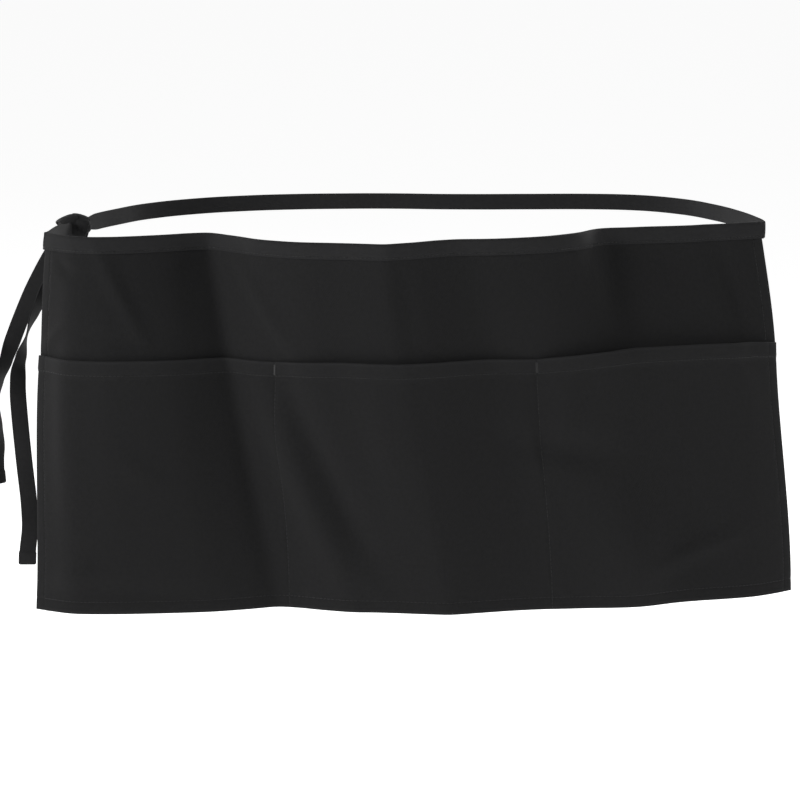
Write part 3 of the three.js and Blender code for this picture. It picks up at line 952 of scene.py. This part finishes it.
def front_rows():
    """Rows on the body panel above the pockets and on the pocket panel."""
    rows = []
    for place in side_places:
        mouth = float(mouth_line(np.array(place)))
        rows.append(panel_row(place, band_place + (mouth - band_place) * fine, -seam_depth))
        rows.append(pocket_row(place, (bottom_place - mouth) * fine / (1 - mouth)))
    inside = side_places[0] + (side_places[1] - side_places[0]) * fine
    rows.append(pocket_row(inside, 1 - bottom_seam / pocket_height))
    hem_off = (turned_behind + turned_before) * 0.9
    rows.append(pocket_row(fine, mouth_seam / pocket_height, hem_off))
    low = mouth_hem / pocket_height + (1 - mouth_hem / pocket_height) * fine
    return rows + [pocket_row(place, low) for place in dividers]


def back_rows():
    """Rows on the back of the body panel."""
    off = -cloth - turned_behind
    down = band_place + (1 - band_place) * fine
    rows = [panel_row(place, down, off, back_raise) for place in side_places]
    rows.append(panel_row(fine, bottom_place, off, back_raise))
    down = mouth_down + (bottom_place - mouth_down) * fine
    rows += [panel_row(place, down, -cloth, back_raise) for place in dividers]
    return rows


def band_rows():
    """The waistband's row, on its front leaf and on its back leaf."""
    down = band_seam / apron_height
    front_off = clearance + leaf + band_bulge * 0.3 - 0.2 * mm
    side = np.minimum(fine, 1 - fine) * apron_width
    back_off = under_band(side) - front_off
    return [panel_row(fine, down, front_off), panel_row(fine, down, back_off, back_raise)]


thread_front = stitch_piece("stitches_front", front_rows())
thread_back = stitch_piece("stitches_back", back_rows())
thread_band = stitch_piece("stitches_waistband", band_rows())
tell(thread_front, thread_back, thread_band)

# %% [markdown]
# Bar tacks lock the ends of the two pocket seams at the mouth. Each is a stack of short
# stitches laid side by side.

# %% Bar tacks
tack_pitch = 0.55 * mm
tack_width = 2.2 * mm
tack_radius = 0.34 * mm


def tack_rows():
    """Short stitches across each divider, from just below the mouth's edge to its hem's end."""
    rows = []
    low = np.linspace(0.6 * mm, mouth_hem, 40) / pocket_height
    for place in dividers:
        row = pocket_row(place, low, seam_depth + turned_behind + turned_before)
        places = np.arange(len(row[0]))
        pick = np.linspace(0, places[-1], int(mouth_hem / tack_pitch))
        centre, along, normal = [read_rows(pick, places, part) for part in row]
        rows.append((centre, np.cross(normal, along), normal))
    return rows


thread_tacks = stitch_piece("bar_tacks", tack_rows(), tack_width, tack_radius)
tell(thread_tacks)

# %% [markdown]
# The twill weave shows fine diagonal ribs, because each yarn passes over the others one step
# further along than its neighbour. A node group makes them from the UV map, which is in metres:
# a sine across the diagonal for the ribs, cut by a sine along them, and noise for the unevenness
# of spun cotton. It gives out a height for the bump and a shade.

# %% Weave group
rib_pitch = 0.9 * mm


def fill(tree, node, inputs):
    """Give a node's inputs plain values, or link them where another node's output is given."""
    for name, source in inputs.items():
        if isinstance(source, (int, float, tuple)):
            node.inputs[name].default_value = source
        else:
            tree.links.new(source, node.inputs[name])


def add(tree, kind, inputs=None, **values):
    """Add a node with its settings and its inputs."""
    node = tree.nodes.new(kind)
    for name, value in values.items():
        setattr(node, name, value)
    fill(tree, node, inputs or {})
    return node


def maths(tree, operation, a, b=0.0):
    """One step of arithmetic on one or two inputs."""
    return add(tree, "ShaderNodeMath", {0: a, 1: b}, operation=operation).outputs[0]


def weave_group():
    """Ribs: the sine of the distance across the diagonal over the rib pitch, bent by noise."""
    tree = bpy.data.node_groups.new("twill_weave", "ShaderNodeTree")
    face = tree.interface
    face.new_socket("Vector", in_out="INPUT", socket_type="NodeSocketVector")
    face.new_socket("Rib pitch", in_out="INPUT", socket_type="NodeSocketFloat")
    for output in ("Height", "Shade"):
        face.new_socket(output, in_out="OUTPUT", socket_type="NodeSocketFloat")
    inside = add(tree, "NodeGroupInput")
    outside = add(tree, "NodeGroupOutput")
    where, width = inside.outputs[0], inside.outputs[1]

    def sum_of(a, b):
        return maths(tree, "ADD", a, b)

    def times(a, b):
        return maths(tree, "MULTIPLY", a, b)

    def noise(scale, detail, roughness=0.5):
        inputs = {"Vector": where, "Scale": scale, "Detail": detail, "Roughness": roughness}
        return add(tree, "ShaderNodeTexNoise", inputs).outputs[0]

    def turns_along(way, radians):
        """The distance along a direction in rib pitches, times the radians for one of them."""
        inputs = {0: where, 1: way}
        far = add(tree, "ShaderNodeVectorMath", inputs, operation="DOT_PRODUCT")
        return times(maths(tree, "DIVIDE", far.outputs["Value"], width), radians)

    bend = times(maths(tree, "SUBTRACT", noise(260.0, 2.0), 0.5), 2.2)
    across_ribs = turns_along((0.5, 0.866, 0.0), 6.2832)
    along_ribs = turns_along((0.866, -0.5, 0.0), 5.1)
    ribs = maths(tree, "SINE", sum_of(across_ribs, bend))
    floats = maths(tree, "SINE", sum_of(along_ribs, times(across_ribs, 0.5)))
    fluff = noise(900.0, 3.0)
    clouds = noise(330.0, 4.0, 0.7)
    height = sum_of(sum_of(times(ribs, 0.36), times(floats, 0.14)), fluff)
    shade = sum_of(times(height, 0.18), times(clouds, 0.9))
    fill(tree, outside, {"Height": height, "Shade": shade})
    return tree


weave = weave_group()
print(weave.name, "has", len(weave.nodes), "nodes")

# %% [markdown]
# The finishes. The black cotton scatters from about a third of a per cent to a little over one per
# cent of the light, and has very little gloss. The edges and hems of the panels are painted paler,
# which a float attribute on the panels says: partly rubbed wear, partly a painted highlight where
# the rims catch the light. The strip of the waistband and ties is paler than the panels, and the
# thread has a faint polish.

# %% Materials
def new_material(name):
    """A material with nodes, its tree and its Principled shader."""
    material = bpy.data.materials.new(name)
    material.use_nodes = True
    tree = material.node_tree
    return material, tree, tree.nodes["Principled BSDF"]


def two_blacks(tree, share, dark, light):
    """A colour between two blacks."""
    inputs = {"Factor": share, "A": (*dark, 1), "B": (*light, 1)}
    return add(tree, "ShaderNodeMix", inputs, data_type="RGBA").outputs["Result"]


def cloth_material(name, dark, light, rib_depth, wear_and_highlight_gain=0.0):
    """Twill: the weave's shade picks between two blacks, and its height makes the bump."""
    material, tree, shader = new_material(name)
    uv = add(tree, "ShaderNodeUVMap", uv_map="cloth")
    inputs = {"Vector": uv.outputs[0], "Rib pitch": rib_pitch}
    pattern = add(tree, "ShaderNodeGroup", inputs, node_tree=weave)
    shade = pattern.outputs["Shade"]
    # Paler edges from the panels' attribute: rubbed wear plus a painted highlight on the rims
    if wear_and_highlight_gain:
        wear_and_highlight = add(tree, "ShaderNodeAttribute", attribute_name="wear_and_highlight")
        shade = maths(tree, "ADD", shade, maths(tree, "MULTIPLY", wear_and_highlight.outputs["Fac"], wear_and_highlight_gain))
    ramp = add(tree, "ShaderNodeMapRange", {"Value": shade, "From Min": 0.2, "From Max": 1.0})
    inputs = {"Height": pattern.outputs["Height"], "Strength": 0.7, "Distance": rib_depth}
    bump = add(tree, "ShaderNodeBump", inputs)
    surface = {
        "Base Color": two_blacks(tree, ramp.outputs[0], dark, light),
        "Normal": bump.outputs[0],
        "Roughness": 0.88,
        "Specular IOR Level": 0.16,
        "Sheen Weight": 0.02,
        "Sheen Roughness": 0.5,
    }
    fill(tree, shader, surface)
    return material


def thread_material():
    """Twisted thread: faint noise along it, a little smoother than the cloth."""
    material, tree, shader = new_material("black_thread")
    place = add(tree, "ShaderNodeTexCoord")
    noise = add(tree, "ShaderNodeTexNoise", {"Vector": place.outputs["Object"], "Scale": 1500.0})
    colour = two_blacks(tree, noise.outputs[0], thread_dark, thread_light)
    fill(tree, shader, {"Base Color": colour, "Roughness": 0.55, "Specular IOR Level": 0.3})
    return material


twill_dark, twill_light = (0.0029, 0.0029, 0.003), (0.0084, 0.0084, 0.0088)
tape_dark, tape_light = (0.0063, 0.0063, 0.0066), (0.0134, 0.0134, 0.014)
thread_dark, thread_light = (0.0025, 0.0025, 0.0026), (0.0062, 0.0062, 0.0065)

twill = cloth_material("black_twill", twill_dark, twill_light, 0.12 * mm, wear_and_highlight_gain=1.3)
tape = cloth_material("black_tape", tape_dark, tape_light, 0.1 * mm)
thread = thread_material()

panels = [body_cloth, pocket_cloth]
tapes = [waistband_tape, back_tie_tape, left_tie_tape, outer_tape, inner_tape]
tapes += [knot_core, *knot_turns]
threads = [thread_front, thread_back, thread_band, thread_tacks]
for pieces, finish in ((panels, twill), (tapes, tape), (threads, thread)):
    for piece in pieces:
        piece.data.materials.append(finish)
    print(finish.name, "on", len(pieces), "pieces")

# %% [markdown]
# What each piece is. Every piece rides on the one body of this part and takes one of the three
# finishes made above. The cloth pieces stand for the solids that they cover, which are hidden.

# %% Tie the pieces to the frame
for piece in (*panels, *tapes, *threads):
    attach(piece, "root")

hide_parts("body_panel")
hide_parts("pocket_panel")
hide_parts("waistband")
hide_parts("back_tie")
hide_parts("left_tie")
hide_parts("outer_tail")
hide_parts("inner_tail")
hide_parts("tie_knot")

# %% [markdown]
# The setting. The apron hangs at waist height over a wide pale floor, which is also all that
# the camera sees behind it. The floor glows white and the room a little. A large soft lamp far to
# the left gives the folds their shape, a weaker one at the right fills them, and two lamps light
# the back.

# %% Floor and light
floor_drop = 0.95
floor_size = 90.0
lamp_size = 1.6
room_glow = 0.12


def make_floor():
    """A flat square that glows white."""
    half = floor_size / 2
    mesh = bpy.data.meshes.new("floor")
    corners = [(-half, -half), (half, -half), (half, half), (-half, half)]
    mesh.from_pydata([(x, y, -floor_drop) for x, y in corners], [], [(0, 1, 2, 3)])
    floor = new_object("floor", mesh)
    material, tree, shader = new_material("pale_floor")
    surface = {
        "Base Color": (0.6, 0.6, 0.6, 1),
        "Roughness": 1.0,
        "Specular IOR Level": 0.0,
        "Emission Color": (1, 1, 1, 1),
        "Emission Strength": 0.88,
    }
    fill(tree, shader, surface)
    mesh.materials.append(material)


def soft_lamp(name, place, target, power):
    """A square lamp at a place, turned to face the target."""
    data = bpy.data.lights.new(name, "AREA")
    data.size = lamp_size
    data.energy = power
    lamp = new_object(name, data)
    lamp.location = place
    lamp.rotation_euler = (Vector(target) - Vector(place)).to_track_quat("-Z", "Y").to_euler()


def make_room():
    """A faint white light from all sides."""
    world = bpy.data.worlds.new("white_room")
    world.use_nodes = True
    tree = world.node_tree
    fill(tree, tree.nodes["Background"], {"Color": (1, 1, 1, 1), "Strength": room_glow})
    bpy.context.scene.world = world


make_floor()
make_room()
soft_lamp("key_left", (-3.2, -1.55, 0.95), (0, -0.1, -0.13), 160)
soft_lamp("fill_right", (3.0, -1.8, 0.7), (0, -0.1, -0.13), 76)
soft_lamp("back_left", (-2.7, 2.6, 1.0), (0, -0.05, -0.13), 75)
soft_lamp("back_right", (2.9, 2.3, 1.2), (0, -0.05, -0.13), 130)
bpy.context.scene.view_settings.view_transform = "Standard"

# %% [markdown]
# The camera stands where the photograph was taken from: a little to the left of the front and
# eleven degrees above level, 2.7 metres from the front of the apron, with a long lens.

# %% Camera
camera_place = (-0.2365, -2.7994, 0.4080)
camera_right = (0.996195, -0.087156, 0.0)
camera_up = (0.016630, 0.190083, 0.981625)
camera_back = (-0.085557, -0.977889, 0.190809)
lens = 164.86

data = bpy.data.cameras.new("camera")
data.lens = lens
data.clip_end = 200
camera = new_object("camera", data)
axes = Matrix((camera_right, camera_up, camera_back)).transposed()
camera.matrix_world = Matrix.Translation(camera_place) @ axes.to_4x4()
bpy.context.scene.camera = camera
